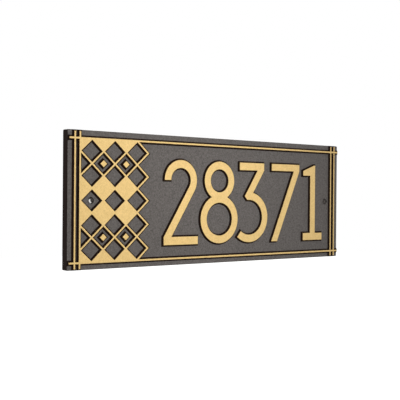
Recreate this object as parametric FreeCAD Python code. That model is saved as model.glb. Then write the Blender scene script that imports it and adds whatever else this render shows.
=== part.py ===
"""House number plaque: one aluminium casting with raised numerals, border lines and a lattice panel,
held to the wall by two round-head wood screws.

Axes: X runs along the plaque to the right, Y goes into the wall, Z is up.
The origin is the middle of the plaque's back, on the wall. All lengths are in millimetres.
"""
import FreeCAD, Part
import math
import os

from FreeCAD import Vector

# Plate
plate_width = 434.0
plate_height = 155.0
plate_thickness = 9.5
plate_corner_radius = 1.5
plate_edge_round = 0.6

# Hollow back: a rim all round, a boss round each screw and a web that joins the bosses
back_rim_width = 10.0
back_web_width = 9.0
back_hollow_depth = 3.0
back_hollow_corner_radius = 5.0
boss_radius = 8.0

# Relief: every raised form has a flat face and sloping cast flanks
relief_height = 2.2
flank_width = 2.0

# Border lines, measured from the plate's edges to each line's middle
line_width = 2.0
line_end_inset = 1.5
top_line_inset = 9.05
bottom_line_inset = 8.1
outer_upright_inset = 8.6
inner_upright_inset = 15.1

# Lattice panel between the left upright and its row of points
panel_columns = 3
panel_rows = 5
panel_width = 91.2
pip_share = 0.29

# Numerals, from left to right
numeral_order = ("two", "eight", "three", "seven", "one")
numeral_height = 102.0
numeral_stroke = 9.6
numeral_rise = 24.3
first_numeral_inset = 129.7
numeral_gaps = (4.2, -1.0, 7.4, 7.6)

two_width = 51.7
two_bowl_radius = 24.4
two_bowl_inset = 0.9
eight_upper_radius = 24.0
eight_lower_radius = 30.15
three_width = 52.9
three_bowl_radius = 32.0
three_bar_start = 4.3
three_bar_end = 46.6
three_elbow_across = 13.2
three_elbow_height = 59.1
three_elbow_cut = 4.2
three_end_angle = 231.0
seven_width = 51.4
seven_bar_thickness = 9.0
one_width = 37.0
one_flag_depth = 14.1
one_flag_end_depth = 6.2
one_flag_top_run = 21.0

# Screws
right_screw_inset = 24.6
screw_head_radius = 3.9
screw_head_height = 2.9
screw_thread_radius = 2.1
screw_plain_radius = 1.85
screw_length = 38.0
screw_point_length = 6.0
screw_hole_clearance = 0.4
driver_wing_length = 4.4
driver_wing_width = 1.0
driver_depth = 1.7

# Worked out from the sizes above
field_y = -plate_thickness
face_y = field_y - relief_height
relief_root = plate_edge_round + 0.5
cut_margin = 5.0
full_turn = 360.0

left_edge = -plate_width / 2
right_edge = plate_width / 2
top_edge = plate_height / 2
bottom_edge = -plate_height / 2
top_line_z = top_edge - top_line_inset
bottom_line_z = bottom_edge + bottom_line_inset

panel_left = left_edge + inner_upright_inset
half_cell_width = panel_width / (2 * panel_columns)
half_cell_height = (top_line_z - bottom_line_z) / (2 * panel_rows)

baseline_z = bottom_edge + numeral_rise
screw_z = bottom_line_z + panel_rows * half_cell_height
screw_places = {
    "left_screw": panel_left + half_cell_width,
    "right_screw": right_edge - right_screw_inset,
}
screw_hole_radius = screw_thread_radius + screw_hole_clearance


def spread_at(depth):
    """How far a flank has run out at a depth under the raised face."""
    return flank_width * depth / relief_height


def offset_corners(corners, distance):
    """The corners of a convex outline, anticlockwise, after each side has moved out by a distance."""
    moved = []
    for i, corner in enumerate(corners):
        before = corners[i - 1]
        after = corners[(i + 1) % len(corners)]
        into = Vector(corner[0] - before[0], corner[1] - before[1], 0).normalize()
        out_of = Vector(after[0] - corner[0], after[1] - corner[1], 0).normalize()
        half_turn = (into + out_of).normalize()
        reach = distance / half_turn.dot(into)
        moved.append((corner[0] + half_turn.y * reach, corner[1] - half_turn.x * reach))
    return moved


def sloped_solid(near, near_y, far, far_y):
    """A solid between two outlines of as many corners, at two depths, closed by flat sides."""
    near_points = [Vector(x, near_y, z) for x, z in near]
    far_points = [Vector(x, far_y, z) for x, z in far]
    loops = [near_points, far_points]
    for i in range(len(near)):
        loops.append([near_points[i - 1], near_points[i], far_points[i], far_points[i - 1]])
    faces = [Part.Face(Part.makePolygon(loop + loop[:1])) for loop in loops]
    return Part.makeSolid(Part.makeShell(faces))


def raised(corners):
    """A raised form with a convex face, its flanks running down into the plate."""
    depth = relief_height + relief_root
    return sloped_solid(corners, face_y, offset_corners(corners, spread_at(depth)), face_y + depth)


def pocket(corners):
    """An opening between raised forms, from above their faces down to the field."""
    lip = offset_corners(corners, spread_at(cut_margin))
    floor = offset_corners(corners, -spread_at(relief_height))
    return sloped_solid(lip, face_y - cut_margin, floor, field_y)


def raised_bar(x_from, x_to, z_from, z_to):
    return raised([(x_from, z_from), (x_to, z_from), (x_to, z_to), (x_from, z_to)])


def stroke_section(centre, outer_radius):
    """The section of a curved stroke where it crosses the line to the right of its centre."""
    depth = relief_height + relief_root
    inner = centre[0] + outer_radius - numeral_stroke
    outer = centre[0] + outer_radius
    corners = [
        Vector(inner, face_y, centre[1]),
        Vector(outer, face_y, centre[1]),
        Vector(outer + spread_at(depth), face_y + depth, centre[1]),
        Vector(inner - spread_at(depth), face_y + depth, centre[1]),
    ]
    return Part.Face(Part.makePolygon(corners + corners[:1]))


def turned(shape, centre, angle):
    """A shape turned anticlockwise, as seen from the front, about a point of the face."""
    return shape.rotate(Vector(centre[0], 0, centre[1]), Vector(0, -1, 0), angle)


def raised_arc(centre, outer_radius, start=0.0, end=full_turn):
    """A curved stroke that runs anticlockwise from one angle to another."""
    section = turned(stroke_section(centre, outer_radius), centre, start)
    return section.revolve(Vector(centre[0], 0, centre[1]), Vector(0, -1, 0), end - start)


def run_on(centre, outer_radius, angle, length):
    """The straight that carries a curved stroke on, clockwise, from an angle."""
    straight = stroke_section(centre, outer_radius).extrude(Vector(0, 0, -length))
    return turned(straight, centre, angle)


def run_back(centre, outer_radius, length):
    """The straight that carries a curved stroke on, to the left, from its top."""
    straight = stroke_section(centre, outer_radius).extrude(Vector(0, 0, length))
    return turned(straight, centre, 90.0)


def end_block(centre, outer_radius, angle, side):
    """What is cut off past the end of a curved stroke, so that the end slopes like the flanks.

    The side is 1 for an end that the stroke reaches anticlockwise, and -1 for one it reaches clockwise.
    """
    reach = 2 * outer_radius
    near = face_y - cut_margin
    far = face_y + relief_height + relief_root + cut_margin
    corners = [
        Vector(centre[0], near, centre[1] - side * spread_at(cut_margin)),
        Vector(centre[0], near, centre[1] + side * reach),
        Vector(centre[0], far, centre[1] + side * reach),
        Vector(centre[0], far, centre[1] + side * spread_at(far - face_y)),
    ]
    block = Part.Face(Part.makePolygon(corners + corners[:1])).extrude(Vector(reach, 0, 0))
    return turned(block, centre, angle)


def end_margin(outer_radius):
    """The angle by which a stroke is made too long before its end is cut."""
    return math.degrees(2 * spread_at(relief_height + relief_root) / (outer_radius - numeral_stroke))


def tangent_angle(point, centre, radius):
    """The heading, in radians, of the line from a point that passes to the right of a circle."""
    across = centre[0] - point[0]
    up = centre[1] - point[1]
    return math.atan2(up, across) - math.asin(radius / math.hypot(across, up))


def numeral_two(x):
    """A round bowl that runs on into a straight diagonal, and a flat foot."""
    top = baseline_z + numeral_height
    centre = (x + two_bowl_inset + two_bowl_radius, top - two_bowl_radius)
    foot_top = baseline_z + numeral_stroke
    heading = tangent_angle((x, foot_top), centre, two_bowl_radius - numeral_stroke)
    start = math.degrees(heading) - 90.0
    end = 180.0
    bowl = raised_arc(centre, two_bowl_radius, start, end + end_margin(two_bowl_radius))
    bowl = bowl.cut(end_block(centre, two_bowl_radius, end, 1))
    diagonal = run_on(centre, two_bowl_radius, start, 2 * numeral_height)
    diagonal = diagonal.common(raised_bar(x, x + numeral_height, baseline_z, top))
    foot = raised_bar(x, x + two_width, baseline_z, foot_top)
    return [bowl, diagonal, foot]


def numeral_eight(x):
    """Two rings that cross, the lower one larger."""
    middle = x + eight_lower_radius
    upper = (middle, baseline_z + numeral_height - eight_upper_radius)
    lower = (middle, baseline_z + eight_lower_radius)
    return [raised_arc(upper, eight_upper_radius), raised_arc(lower, eight_lower_radius)]


def numeral_three(x):
    """A flat bar, a diagonal back to a pointed elbow, and a round bowl."""
    top = baseline_z + numeral_height
    bar_bottom = top - numeral_stroke
    bar_end = x + three_bar_end
    elbow = (x + three_elbow_across, baseline_z + three_elbow_height)
    across = bar_end - elbow[0]
    up = bar_bottom - elbow[1]
    heading = math.atan2(up, across) + math.asin(numeral_stroke / math.hypot(across, up))
    stroke_run = numeral_stroke / math.sin(heading)

    centre = (x + three_width - three_bowl_radius, baseline_z + three_bowl_radius)
    throat_left = elbow[0] + three_elbow_cut
    throat_length = centre[0] - throat_left
    throat_bottom = centre[1] + three_bowl_radius - numeral_stroke
    diagonal = [
        (throat_left, throat_bottom),
        (throat_left + throat_length / 4, throat_bottom),
        (elbow[0] + stroke_run, elbow[1]),
        (bar_end, bar_bottom),
        (bar_end - stroke_run, bar_bottom),
        elbow,
    ]
    bowl_start = three_end_angle - end_margin(three_bowl_radius) - full_turn
    bowl = raised_arc(centre, three_bowl_radius, bowl_start, 90.0)
    bowl = bowl.cut(end_block(centre, three_bowl_radius, three_end_angle, -1))
    throat = run_back(centre, three_bowl_radius, throat_length)
    bar = raised_bar(x + three_bar_start, bar_end, bar_bottom, top)
    trimmed = raised(diagonal).common(raised_bar(x, bar_end, baseline_z, top))
    return [bar, trimmed, throat, bowl]


def numeral_seven(x):
    """A flat bar and a straight leg from its right end to a foot under its left end."""
    top = baseline_z + numeral_height
    bar_bottom = top - seven_bar_thickness
    rise = bar_bottom - baseline_z
    # The leg's lean m solves (width - m * rise) ** 2 = stroke ** 2 * (1 + m ** 2)
    square = rise ** 2 - numeral_stroke ** 2
    linear = seven_width * rise
    lean = (linear - math.sqrt(linear ** 2 - square * (seven_width ** 2 - numeral_stroke ** 2))) / square
    stroke_run = numeral_stroke * math.hypot(1, lean)
    right = x + seven_width
    leg = [
        (x, baseline_z),
        (x + stroke_run, baseline_z),
        (right, bar_bottom),
        (right - stroke_run, bar_bottom),
    ]
    trimmed = raised(leg).common(raised_bar(x, right, baseline_z, top))
    return [raised_bar(x, right, bar_bottom, top), trimmed]


def numeral_one(x):
    """A stem on a slab foot, with a flag whose top slopes up to the stem."""
    top = baseline_z + numeral_height
    stem_left = x + (one_width - numeral_stroke) / 2
    stem_right = stem_left + numeral_stroke
    flag_bottom = top - one_flag_depth
    flag = [
        (x, flag_bottom),
        (stem_right, flag_bottom),
        (stem_right, top),
        (x + one_flag_top_run, top),
        (x, flag_bottom + one_flag_end_depth),
    ]
    stem = raised_bar(stem_left, stem_right, baseline_z, top - one_flag_end_depth)
    foot = raised_bar(x, x + one_width, baseline_z, baseline_z + numeral_stroke)
    return [raised(flag), stem, foot]


def numerals():
    """The house number, each numeral placed by its gap from the one before."""
    kinds = {
        "one": (numeral_one, one_width),
        "two": (numeral_two, two_width),
        "three": (numeral_three, three_width),
        "seven": (numeral_seven, seven_width),
        "eight": (numeral_eight, 2 * eight_lower_radius),
    }
    solids = []
    x = left_edge + first_numeral_inset
    for name, gap in zip(numeral_order, numeral_gaps + (0.0,)):
        make, width = kinds[name]
        solids += make(x)
        x += width + gap
    return solids


def border_lines():
    """A line along the top and the bottom and a pair of uprights at each end, which cross and run out."""
    half = line_width / 2
    left_end = left_edge + line_end_inset
    right_end = right_edge - line_end_inset
    lower_end = bottom_edge + line_end_inset
    upper_end = top_edge - line_end_inset
    lines = []
    for z in (top_line_z, bottom_line_z):
        lines.append(raised_bar(left_end, right_end, z - half, z + half))
    for inset in (outer_upright_inset, inner_upright_inset):
        for x in (left_edge + inset, right_edge - inset):
            lines.append(raised_bar(x - half, x + half, lower_end, upper_end))
    return lines


def lattice_point(i, j):
    """A crossing of the lattice, i half cells from the panel's left side and j from its bottom."""
    return (panel_left + i * half_cell_width, bottom_line_z + j * half_cell_height)


def diamond(i, j):
    """The four crossings round a cell, anticlockwise from its lowest."""
    around = ((i, j - 1), (i + 1, j), (i, j + 1), (i - 1, j))
    return [lattice_point(*place) for place in around]


def pip(i, j):
    """A small raised diamond in the middle of an open cell."""
    middle = lattice_point(i, j)
    across = pip_share * half_cell_width
    up = pip_share * half_cell_height
    return [
        (middle[0], middle[1] - up),
        (middle[0] + across, middle[1]),
        (middle[0], middle[1] + up),
        (middle[0] - across, middle[1]),
    ]


def lattice_panel():
    """Crossing diagonal lines: some cells filled, some open and some with a pip in them."""
    last_column = 2 * panel_columns
    last_row = 2 * panel_rows
    half = line_width / 2

    bottom_left = lattice_point(0, 0)
    top_right = lattice_point(last_column - 1, last_row)
    ground = raised_bar(bottom_left[0], top_right[0], bottom_left[1], top_right[1])
    points = [raised(offset_corners(diamond(last_column - 1, j), half)) for j in range(1, last_row, 2)]
    reach = raised_bar(panel_left, panel_left + 2 * panel_width, bottom_line_z - half, top_line_z + half)
    panel = ground.multiFuse(points).common(reach)

    middle = panel_rows
    openings = []
    pips = []
    for i in range(1, last_column, 2):
        for j in range(1, last_row, 2):
            openings.append(diamond(i, j))
    for i in range(2, last_column, 2):
        for j in range(2, last_row, 2):
            if abs(j - middle) > 1:
                openings.append(diamond(i, j))
                pips.append(raised(pip(i, j)))
    for j in range(2, last_row, 2):
        if abs(j - middle) > 1:
            openings.append([lattice_point(0, j - 1), lattice_point(1, j), lattice_point(0, j + 1)])
    cuts = [pocket(offset_corners(corners, -half)) for corners in openings]
    return [panel.cut(Part.makeCompound(cuts))] + pips


def round_four_corners(box, radius):
    """A box whose four edges that run from front to back are rounded."""
    edges = [e for e in box.Edges if e.BoundBox.YLength > e.BoundBox.DiagonalLength / 2]
    return box.makeFillet(radius, edges)


def plate():
    """The casting without its relief: a slab with its front edges rounded."""
    low = Vector(left_edge, field_y, bottom_edge)
    slab = Part.makeBox(plate_width, plate_thickness, plate_height, low)
    slab = round_four_corners(slab, plate_corner_radius)
    front = [e for e in slab.Edges if e.BoundBox.YMax < field_y + plate_edge_round / 2]
    return slab.makeFillet(plate_edge_round, front)


def outline():
    """The plate's outline carried forward through the relief, which ends flush with its sides."""
    low = Vector(left_edge, face_y - cut_margin, bottom_edge)
    block = Part.makeBox(plate_width, cut_margin - face_y, plate_height, low)
    return round_four_corners(block, plate_corner_radius)


def back_hollow():
    """What the casting lacks behind: two shallow hollows, above and below the web, clear of the bosses."""
    width = plate_width - 2 * back_rim_width
    halves = []
    for low_z, high_z in (
        (bottom_edge + back_rim_width, screw_z - back_web_width / 2),
        (screw_z + back_web_width / 2, top_edge - back_rim_width),
    ):
        low = Vector(left_edge + back_rim_width, -back_hollow_depth, low_z)
        half = Part.makeBox(width, back_hollow_depth + cut_margin, high_z - low_z, low)
        halves.append(round_four_corners(half, back_hollow_corner_radius))
    hollow = Part.makeCompound(halves)
    for x in screw_places.values():
        hollow = hollow.cut(hole_through(x, boss_radius))
    return hollow


def hole_through(x, radius):
    """A round tool along a screw's axis, longer than the casting is thick."""
    start = Vector(x, face_y - cut_margin, screw_z)
    return Part.makeCylinder(radius, 2 * cut_margin - face_y, start, Vector(0, 1, 0))


def plaque():
    """The whole casting."""
    solids = border_lines() + lattice_panel() + numerals()
    relief = solids[0].multiFuse(solids[1:]).common(outline())
    casting = plate().fuse(relief).removeSplitter()
    casting = casting.cut(back_hollow())
    for x in screw_places.values():
        casting = casting.cut(hole_through(x, screw_hole_radius))
    return casting.removeSplitter()


def wood_screw(x):
    """A round-head wood screw with a cross recess and a pointed end.

    Its shank is plain through the plate and threaded from the wall on, so that it pulls the plate down.
    """
    dome_radius = (screw_head_radius ** 2 + screw_head_height ** 2) / (2 * screw_head_height)
    dome_middle_y = field_y - screw_head_height + dome_radius
    tip_y = field_y + screw_length
    point_y = tip_y - screw_point_length
    crown = Vector(0, field_y - screw_head_height, 0)
    lean = math.atan2(screw_head_radius, dome_middle_y - field_y) / 2
    halfway = Vector(dome_radius * math.sin(lean), dome_middle_y - dome_radius * math.cos(lean), 0)
    brim = Vector(screw_head_radius, field_y, 0)
    dome = Part.Arc(crown, halfway, brim).toShape()
    stations = [
        brim,
        Vector(screw_plain_radius, field_y, 0),
        Vector(screw_plain_radius, 0, 0),
        Vector(screw_thread_radius, 0, 0),
        Vector(screw_thread_radius, point_y, 0),
        Vector(0, tip_y, 0),
        crown,
    ]
    profile = Part.Wire([dome] + Part.makePolygon(stations).Edges)
    body = Part.Face(profile).revolve(Vector(0, 0, 0), Vector(0, 1, 0), full_turn)
    for across, up in ((driver_wing_length, driver_wing_width), (driver_wing_width, driver_wing_length)):
        low = Vector(-across / 2, crown.y - cut_margin, -up / 2)
        body = body.cut(Part.makeBox(across, cut_margin + driver_depth, up, low))
    return body.translated(Vector(x, 0, screw_z))


os.makedirs("parts", exist_ok=True)
plaque().exportStep("parts/plaque.step")
for name, place in screw_places.items():
    wood_screw(place).exportStep("parts/" + name + ".step")
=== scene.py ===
"""A cast aluminium house number plaque with gilt relief, held by two round-head screws, in a plain studio.

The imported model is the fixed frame: metres, X along the plaque, Y into the wall, Z up.
"""
import math

import bmesh
import bpy
import numpy as np
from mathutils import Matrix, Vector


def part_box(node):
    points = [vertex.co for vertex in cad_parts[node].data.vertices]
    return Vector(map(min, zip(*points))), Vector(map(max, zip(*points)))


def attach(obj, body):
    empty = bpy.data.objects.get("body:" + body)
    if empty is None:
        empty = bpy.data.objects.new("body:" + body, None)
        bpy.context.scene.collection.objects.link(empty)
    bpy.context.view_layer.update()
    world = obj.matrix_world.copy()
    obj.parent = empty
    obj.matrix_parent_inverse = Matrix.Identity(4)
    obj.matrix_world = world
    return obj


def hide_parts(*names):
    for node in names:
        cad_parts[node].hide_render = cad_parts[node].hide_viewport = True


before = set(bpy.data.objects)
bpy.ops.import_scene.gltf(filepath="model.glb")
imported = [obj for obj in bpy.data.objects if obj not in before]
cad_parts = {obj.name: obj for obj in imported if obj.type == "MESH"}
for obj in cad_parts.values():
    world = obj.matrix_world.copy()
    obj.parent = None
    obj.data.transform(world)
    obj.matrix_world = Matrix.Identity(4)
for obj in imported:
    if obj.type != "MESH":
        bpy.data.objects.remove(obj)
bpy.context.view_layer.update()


# Camera: a long lens at the left of the plaque, level with its middle.
# It looks down by a fifth of a degree and is held half a degree out of level.
camera = bpy.data.objects.new("camera", bpy.data.cameras.new("camera"))
bpy.context.scene.collection.objects.link(camera)
bpy.context.scene.camera = camera
camera.location = (-0.6760, -0.8120, 0.0041)
camera.rotation_euler = (math.radians(89.812), math.radians(-0.444), math.radians(-38.792))
camera.data.sensor_width = 36.0
camera.data.lens = 75.39
bpy.context.scene.view_settings.view_transform = "Standard"


# Studio: a pale floor well below the plaque and a white room.
# The room's own light is dim, and only what looks straight at it finds it white.
room_light = 0.46
floor_height = -0.55
floor_reach = 6.0
floor_glow = 0.9


def linear(hex_colour):
    """The linear colour of an sRGB hex colour such as "c8a060": each channel raised by the sRGB curve."""
    srgb = np.array([int(hex_colour[i:i + 2], 16) for i in (0, 2, 4)]) / 255
    channels = np.where(srgb <= 0.04045, srgb / 12.92, ((srgb + 0.055) / 1.055) ** 2.4)
    return (*channels.tolist(), 1.0)


def add_node(tree, kind, inputs=None, **settings):
    """Adds a node. Settings are its own choices, and each input is a value or another node's socket."""
    made = tree.nodes.new(kind)
    for name, value in settings.items():
        setattr(made, name, value)
    for name, value in (inputs or {}).items():
        if isinstance(value, bpy.types.NodeSocket):
            tree.links.new(value, made.inputs[name])
        else:
            made.inputs[name].default_value = value
    return made


def new_material(name):
    """An empty material with its output node."""
    material = bpy.data.materials.new(name)
    material.use_nodes = True
    material.node_tree.nodes.clear()
    return material, material.node_tree, add_node(material.node_tree, "ShaderNodeOutputMaterial")


def sees_background(tree):
    """1 on rays that show the background, straight, in a gloss or through glass, and 0 on the others."""
    path = add_node(tree, "ShaderNodeLightPath")
    either = add_node(tree, "ShaderNodeMath",
                      {0: path.outputs["Is Camera Ray"], 1: path.outputs["Is Glossy Ray"]}, operation="MAXIMUM")
    every = add_node(tree, "ShaderNodeMath", {0: either.outputs[0], 1: path.outputs["Is Transmission Ray"]},
                     operation="MAXIMUM")
    return every.outputs[0]


world = bpy.data.worlds.new("white room")
bpy.context.scene.world = world
world.use_nodes = True
tree = world.node_tree
tree.nodes.clear()
strength = add_node(tree, "ShaderNodeMapRange",
                    {"Value": sees_background(tree), "To Min": room_light, "To Max": 1.0})
background = add_node(tree, "ShaderNodeBackground",
                      {"Color": linear("ffffff"), "Strength": strength.outputs["Result"]})
output = add_node(tree, "ShaderNodeOutputWorld", {"Surface": background.outputs[0]})

floor_mesh = bpy.data.meshes.new("floor")
corners = [(-floor_reach, -floor_reach), (floor_reach, -floor_reach), (floor_reach, floor_reach),
           (-floor_reach, floor_reach)]
floor_mesh.from_pydata([(x, y, floor_height) for x, y in corners], [], [(0, 1, 2, 3)])
floor = bpy.data.objects.new("floor", floor_mesh)
bpy.context.scene.collection.objects.link(floor)

# Matt white paint on board: it glows a little for the camera, so it stays white but keeps a shadow
material, tree, output = new_material("matt white painted board")
paint = add_node(tree, "ShaderNodeBsdfDiffuse", {"Color": linear("e6e6e4")})
glow_strength = add_node(tree, "ShaderNodeMath", {0: sees_background(tree), 1: floor_glow}, operation="MULTIPLY")
glow = add_node(tree, "ShaderNodeEmission", {"Color": linear("ffffff"), "Strength": glow_strength.outputs[0]})
board = add_node(tree, "ShaderNodeAddShader", {0: paint.outputs[0], 1: glow.outputs[0]})
tree.links.new(board.outputs[0], output.inputs["Surface"])
floor_mesh.materials.append(material)


def soft_light(name, place, aim, side, watts, spread):
    """A square soft box at a place, turned to aim at a point, with a grid that narrows the beam to a spread.

    The spread is in degrees. A narrower one throws the same watts on a smaller patch, which is then brighter.
    """
    lamp = bpy.data.lights.new(name, "AREA")
    lamp.size = side
    lamp.energy = watts
    lamp.spread = math.radians(spread)
    box = bpy.data.objects.new(name, lamp)
    bpy.context.scene.collection.objects.link(box)
    box.location = place
    towards = np.array(aim) - np.array(place)
    across = math.hypot(towards[0], towards[1])
    box.rotation_euler = (math.pi / 2 + math.atan2(towards[2], across), 0, math.atan2(-towards[0], towards[1]))
    box.visible_camera = False


# The key stands in front and a little above. The gleam, at the right, is weak and adds gloss towards the camera.
soft_light("key", place=(-0.05, -0.62, 0.2), aim=(-0.06, 0.0, 0.0), side=0.2, watts=0.15, spread=60.0)
soft_light("gleam", place=(0.5, -0.5, 0.1), aim=(-0.12, 0.0, 0.0), side=0.2, watts=0.027, spread=40.0)


# Casting: the plaque itself, sand cast in aluminium, base coated, sprayed dark bronze on front and back
# and then gilt with a roller on its raised faces only. Its flanks and sides carry painted shade, a near-black. Its
# relief has softly rounded edges.
plate_front = -0.0095
relief_front = -0.0117
soft_edge = 0.00025
depth_slack = 0.00002
squarely = 0.95
same_point = 1e-6
flat_within = math.radians(0.5)
casting_crease = math.radians(25)
# The third finish is painted shade, a near-black for the flanks and the plate's sides
gold_index, bronze_index, painted_shade_index = range(3)
# The back is all that lies behind a depth half a millimetre past the hollow's floor, but for the plate's
# sides: a face that doesn't look straight back counts only if it lies 5 mm or more inside them
hollow_floor = -0.0035
rim_inside = (0.212, 0.0725)


def merged_copy(node, name):
    """A copy of a CAD node's mesh: loose triangles joined, flat faces made whole, stored normals dropped."""
    mesh = node.data.copy()
    mesh.name = name
    mesh.materials.clear()
    work = bmesh.new()
    work.from_mesh(mesh)
    bmesh.ops.remove_doubles(work, verts=work.verts, dist=same_point)
    bmesh.ops.dissolve_limit(work, angle_limit=flat_within, verts=work.verts, edges=work.edges)
    work.to_mesh(mesh)
    work.free()
    if "custom_normal" in mesh.attributes:
        mesh.attributes.remove(mesh.attributes["custom_normal"])
    return mesh


def read(collection, name, width, kind=np.float64):
    """One property of all vertices, edges, loops or faces as an array with so many columns."""
    values = np.empty(len(collection) * width, kind)
    collection.foreach_get(name, values)
    return values.reshape(-1, width) if width > 1 else values


casting_mesh = merged_copy(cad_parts["plaque"], "casting")
normals = read(casting_mesh.polygons, "normal", 3)
centres = read(casting_mesh.polygons, "center", 3)
faces_front = normals[:, 1] < -squarely
gilt_faces = faces_front & (np.abs(centres[:, 1] - relief_front) < depth_slack)
field_faces = faces_front & ~gilt_faces
inside_rim = (np.abs(centres[:, 0]) < rim_inside[0]) & (np.abs(centres[:, 2]) < rim_inside[1])
back_faces = (centres[:, 1] > hollow_floor) & (inside_rim | (normals[:, 1] > squarely))

# The rim of a gilt face is each edge that one gilt face and one other face share
sides = read(casting_mesh.polygons, "loop_total", 1, np.int32)
edge_of_loop = read(casting_mesh.loops, "edge_index", 1, np.int32)
gilt_sides = np.bincount(edge_of_loop, np.repeat(gilt_faces, sides), len(casting_mesh.edges))
rim = gilt_sides == 1
weights = casting_mesh.attributes.new("bevel_weight_edge", "FLOAT", "EDGE")
weights.data.foreach_set("value", rim.astype(np.float32))

# Gold on the raised faces, bronze on the field and the back, and painted shade, a near-black, on every flank and side
finish_index = np.full(len(casting_mesh.polygons), painted_shade_index, np.int32)
finish_index[field_faces | back_faces] = bronze_index
finish_index[gilt_faces] = gold_index
casting_mesh.polygons.foreach_set("material_index", finish_index)
casting_mesh.polygons.foreach_set("use_smooth", np.ones(len(casting_mesh.polygons), bool))
casting_mesh.set_sharp_from_angle(angle=casting_crease)

casting = bpy.data.objects.new("casting", casting_mesh)
bpy.context.scene.collection.objects.link(casting)
rounding = casting.modifiers.new("soft edges", "BEVEL")
rounding.width = soft_edge
rounding.segments = 2
rounding.limit_method = "WEIGHT"
rounding.use_clamp_overlap = False
flatness = casting.modifiers.new("flat faces", "WEIGHTED_NORMAL")
flatness.weight = 100
flatness.keep_sharp = True

# Gold paint: fine metal flakes in a clear binder, rolled on, so it is satin, grainy and slightly mottled.
# A scale of 900 gives grains of 1.1 mm and one of 160 a mottle of 6 mm. Real flakes are far finer, so the
# grain is drawn coarser than real, so that it shows.
gilding, tree, output = new_material("rolled gold paint")
place = add_node(tree, "ShaderNodeTexCoord").outputs["Object"]
grain = add_node(tree, "ShaderNodeTexNoise", {"Vector": place, "Scale": 900.0, "Detail": 3.0, "Roughness": 0.6})
mottle = add_node(tree, "ShaderNodeTexNoise", {"Vector": place, "Scale": 160.0, "Detail": 2.0, "Roughness": 0.5})
both = add_node(tree, "ShaderNodeMath", {0: mottle.outputs["Fac"], 1: 0.35, 2: grain.outputs["Fac"]},
                operation="MULTIPLY_ADD")
tone = add_node(tree, "ShaderNodeMapRange",
                {"Value": both.outputs[0], "From Min": 0.4, "From Max": 0.95, "To Min": 0.0, "To Max": 1.0})
colour = add_node(tree, "ShaderNodeMix",
                  {"Factor": tone.outputs["Result"], "A": linear("e2be76"), "B": linear("ffdb92")}, data_type="RGBA")
relief = add_node(tree, "ShaderNodeBump", {"Height": grain.outputs["Fac"], "Strength": 0.25, "Distance": 0.00006})
shader = add_node(tree, "ShaderNodeBsdfPrincipled",
                  {"Metallic": 0.3, "Roughness": 0.5, "Normal": relief.outputs["Normal"]})
tree.links.new(colour.outputs["Result"], shader.inputs["Base Color"])
tree.links.new(shader.outputs[0], output.inputs["Surface"])

# Dark bronze paint: sprayed over the sand-cast skin, whose grains still show as a matt, speckled grey.
# A scale of 600 gives grains of 1.7 mm, drawn coarser than real sand, so that they show.
bronzing, tree, output = new_material("sprayed dark bronze paint")
place = add_node(tree, "ShaderNodeTexCoord").outputs["Object"]
skin = add_node(tree, "ShaderNodeTexNoise", {"Vector": place, "Scale": 600.0, "Detail": 4.0, "Roughness": 0.7})
tone = add_node(tree, "ShaderNodeMapRange",
                {"Value": skin.outputs["Fac"], "From Min": 0.3, "From Max": 0.7, "To Min": 0.0, "To Max": 1.0})
colour = add_node(tree, "ShaderNodeMix",
                  {"Factor": tone.outputs["Result"], "A": linear("4d4845"), "B": linear("7a7470")}, data_type="RGBA")
relief = add_node(tree, "ShaderNodeBump", {"Height": skin.outputs["Fac"], "Strength": 0.4, "Distance": 0.00012})
shader = add_node(tree, "ShaderNodeBsdfPrincipled",
                  {"Metallic": 0.1, "Roughness": 0.5, "Specular IOR Level": 0.3, "Normal": relief.outputs["Normal"]})
tree.links.new(colour.outputs["Result"], shader.inputs["Base Color"])
tree.links.new(shader.outputs[0], output.inputs["Surface"])

# Painted shade on the flanks and the plate's sides: the dark bronze made nearly black and dull, as if in shade.
# A scale of 700 gives grains of 1.4 mm, also drawn coarser than real, so that they show.
painted_shade_coat, tree, output = new_material("painted shade on flanks and sides")
place = add_node(tree, "ShaderNodeTexCoord").outputs["Object"]
skin = add_node(tree, "ShaderNodeTexNoise", {"Vector": place, "Scale": 700.0, "Detail": 4.0, "Roughness": 0.65})
tone = add_node(tree, "ShaderNodeMapRange",
                {"Value": skin.outputs["Fac"], "From Min": 0.3, "From Max": 0.7, "To Min": 0.0, "To Max": 1.0})
colour = add_node(tree, "ShaderNodeMix",
                  {"Factor": tone.outputs["Result"], "A": linear("1a0e09"), "B": linear("281912")}, data_type="RGBA")
relief = add_node(tree, "ShaderNodeBump", {"Height": skin.outputs["Fac"], "Strength": 0.4, "Distance": 0.0002})
shader = add_node(tree, "ShaderNodeBsdfPrincipled",
                  {"Metallic": 0.0, "Roughness": 0.7, "Specular IOR Level": 0.08, "Normal": relief.outputs["Normal"]})
tree.links.new(colour.outputs["Result"], shader.inputs["Base Color"])
tree.links.new(shader.outputs[0], output.inputs["Surface"])

for finish in (gilding, bronzing, painted_shade_coat):
    casting_mesh.materials.append(finish)
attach(casting, "root")
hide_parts("plaque")


# Screws: two No. 8 round-head wood screws of steel, plated nearly black. The head is stamped with a
# cross recess, and the thread is rolled from the wall on, so it stands out wider than the plain shank.
head_radius = 0.0039
head_height = 0.0029
brim_round = 0.0002
plain_radius = 0.00185
thread_radius = 0.0021
root_radius = 0.00145
thread_pitch = 0.00169
screw_tip = 0.0285
point_length = 0.006
recess_depth = 0.0017
recess_reach = 0.0022
wing_half_width = 0.00045
recess_wall = 0.00012
recess_curve = 1.5
under_thread = 0.0003
cap_rings = 44
rings_per_pitch = 10
ridge_half_width = 0.3
point_curve = 0.8
screw_crease = math.radians(40)
columns = 96


def smooth_step(amount):
    """0 below 0, 1 above 1, and three squares less two cubes between them."""
    amount = np.clip(amount, 0.0, 1.0)
    return amount * amount * (3.0 - 2.0 * amount)


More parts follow.
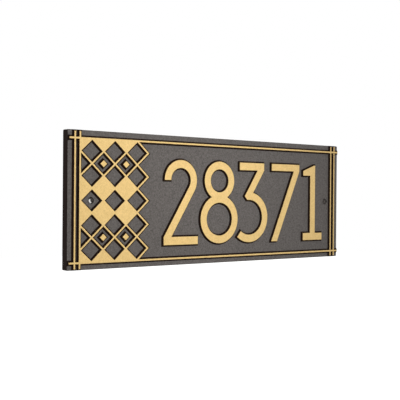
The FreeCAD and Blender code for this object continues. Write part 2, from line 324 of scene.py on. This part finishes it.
def screw_profile():
    """The screw's outline as radius and depth: a sphere's cap, a rounded brim, a plain shank, then the thread's axis.

    The cap's radius is (r squared + h squared) / 2h for a head of radius r and height h.
    """
    cap_radius = (head_radius ** 2 + head_height ** 2) / (2 * head_height)
    cap_centre = plate_front - head_height + cap_radius
    brim_angle = math.asin(head_radius / cap_radius)
    angle = np.linspace(0.0, brim_angle, cap_rings)[1:]
    cap = np.stack([cap_radius * np.sin(angle), cap_centre - cap_radius * np.cos(angle)], 1)
    cap[-1] = (head_radius - brim_round / 3, plate_front - brim_round)
    under = np.array([(head_radius, plate_front - brim_round / 2), (head_radius - brim_round / 3, plate_front),
                      (plain_radius, plate_front), (plain_radius, -under_thread),
                      (plain_radius - under_thread / 3, 0.0)])
    depth = np.arange(thread_pitch / rings_per_pitch, screw_tip, thread_pitch / rings_per_pitch)
    thread = np.stack([np.full(len(depth), root_radius), depth], 1)
    return np.concatenate([cap, under, thread]), len(cap), len(cap) + len(under)


def screw_surface(middle, turn):
    """A screw as a grid of outline by angle, closed by one point at the crown and one at the tip.

    Recess: behind the crown by its depth times 1 - (radius / reach) ** 1.5, inside the cross of two wings.
    Thread: the root plus a ridge that peaks where depth / pitch - angle / turn is halfway between whole numbers.
    """
    outline, cap_rows, plain_rows = screw_profile()
    angle = np.linspace(0.0, 2 * math.pi, columns, endpoint=False)[None, :]
    radius = np.repeat(outline[:, :1], columns, 1)
    depth = np.repeat(outline[:, 1:], columns, 1)

    across = np.abs(radius * np.cos(angle - turn))
    up = np.abs(radius * np.sin(angle - turn))
    inside = smooth_step((wing_half_width + recess_wall / 2 - np.minimum(across, up)) / recess_wall)
    floor_share = 1 - np.minimum(radius / recess_reach, 1.0) ** recess_curve
    floor_depth = plate_front - head_height + recess_depth * floor_share
    sunk = np.maximum(floor_depth - depth, 0.0) * inside
    depth[:cap_rows] += sunk[:cap_rows]

    phase = (depth / thread_pitch - angle / (2 * math.pi)) % 1.0
    ridge = np.maximum(1.0 - np.abs(phase - 0.5) / ridge_half_width, 0.0)
    taper = np.clip((screw_tip - depth) / point_length, 0.0, 1.0) ** point_curve
    starts = smooth_step(depth / thread_pitch)
    threaded = (root_radius + (thread_radius - root_radius) * ridge * starts) * taper
    radius[plain_rows:] = threaded[plain_rows:]

    grid = np.stack([middle[0] + radius * np.cos(angle), depth, middle[1] + radius * np.sin(angle)], 2)
    crown = (middle[0], plate_front - head_height + recess_depth, middle[1])
    tip = (middle[0], screw_tip, middle[1])
    points = np.concatenate([grid.reshape(-1, 3), [crown, tip]])

    rows = len(outline)
    corner = np.arange(rows * columns).reshape(rows, columns)
    beside = np.roll(corner, -1, 1)
    quads = np.stack([corner[:-1], corner[1:], beside[1:], beside[:-1]], 2).reshape(-1, 4)
    crown_fan = np.stack([np.full(columns, rows * columns), corner[0], beside[0]], 1)
    tip_fan = np.stack([np.full(columns, rows * columns + 1), beside[-1], corner[-1]], 1)
    return points, quads.tolist() + crown_fan.tolist() + tip_fan.tolist()


# The painted highlight's crescent: where it starts and fades across the head, and how it fades away from its side
highlight_from, highlight_fade = 0.4, 0.3
highlight_side, highlight_side_fade = 0.3, 0.5


def painted_highlight_share(points, middle, heading, amount):
    """The painted highlight on a head: a bright crescent on its rim, fading inwards and away from a heading.

    It is the amount times a step of radius over head radius times a step of the cosine of the angle from the heading.
    """
    across, up = points[:, 0] - middle[0], points[:, 2] - middle[1]
    radius = np.hypot(across, up)
    facing = (across * math.cos(heading) + up * math.sin(heading)) / np.maximum(radius, 1e-9)
    on_head = points[:, 1] < plate_front
    outwards = smooth_step((radius / head_radius - highlight_from) / highlight_fade)
    return amount * on_head * outwards * smooth_step((facing - highlight_side) / highlight_side_fade)


# Dark bronze plate over steel: a hard, dark, fairly bright metal that is a little uneven. A scale of 900 makes
# its clouds 1.1 mm wide. On one side of each head a crescent of bright steel colour is a painted highlight,
# standing in for a lamp's reflection.
plating, tree, output = new_material("dark bronze plated steel with painted highlight")
place = add_node(tree, "ShaderNodeTexCoord").outputs["Object"]
cloud = add_node(tree, "ShaderNodeTexNoise", {"Vector": place, "Scale": 900.0, "Detail": 3.0, "Roughness": 0.6})
tone = add_node(tree, "ShaderNodeMapRange",
                {"Value": cloud.outputs["Fac"], "From Min": 0.3, "From Max": 0.7, "To Min": 0.0, "To Max": 1.0})
colour = add_node(tree, "ShaderNodeMix",
                  {"Factor": tone.outputs["Result"], "A": linear("3a3633"), "B": linear("4a4643")}, data_type="RGBA")
gloss = add_node(tree, "ShaderNodeMapRange",
                 {"Value": cloud.outputs["Fac"], "From Min": 0.3, "From Max": 0.7, "To Min": 0.18, "To Max": 0.3})
# Painted highlight: where this attribute is high, the colour turns to bright steel, broken up by the clouds
painted_highlight = add_node(tree, "ShaderNodeAttribute", attribute_name="painted_highlight")
patchy_highlight = add_node(tree, "ShaderNodeMath", {0: cloud.outputs["Fac"], 1: 0.6, 2: painted_highlight.outputs["Fac"]},
                  operation="MULTIPLY_ADD")
highlit_share = add_node(tree, "ShaderNodeMapRange",
                {"Value": patchy_highlight.outputs[0], "From Min": 0.5, "From Max": 1.1, "To Min": 0.0, "To Max": 1.0})
plating_and_highlight = add_node(tree, "ShaderNodeMix",
                {"Factor": highlit_share.outputs["Result"], "A": colour.outputs["Result"], "B": linear("d6d5d2")},
                data_type="RGBA")
shader = add_node(tree, "ShaderNodeBsdfPrincipled", {"Metallic": 1.0, "Roughness": gloss.outputs["Result"]})
tree.links.new(plating_and_highlight.outputs["Result"], shader.inputs["Base Color"])
tree.links.new(shader.outputs[0], output.inputs["Surface"])

# Of each screw: how far its recess is turned and which way its painted highlight faces, in degrees, and how strong
# that highlight is
screws = (("left_screw", 20.0, 200.0, 0.85), ("right_screw", 65.0, 5.0, 0.65))
for node, turn, heading, amount in screws:
    low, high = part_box(node)
    middle = ((low.x + high.x) / 2, (low.z + high.z) / 2)
    points, faces = screw_surface(middle, math.radians(turn))
    mesh = bpy.data.meshes.new(node + "_threaded")
    mesh.from_pydata(points.tolist(), [], faces)
    # Each head carries its painted highlight as a point attribute
    share = mesh.attributes.new("painted_highlight", "FLOAT", "POINT")
    highlight_values = painted_highlight_share(points, middle, math.radians(heading), amount)
    share.data.foreach_set("value", highlight_values.astype(np.float32))
    mesh.polygons.foreach_set("use_smooth", np.ones(len(mesh.polygons), bool))
    mesh.set_sharp_from_angle(angle=screw_crease)
    mesh.materials.append(plating)
    screw = bpy.data.objects.new(node + "_threaded", mesh)
    bpy.context.scene.collection.objects.link(screw)
    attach(screw, "root")
    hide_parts(node)
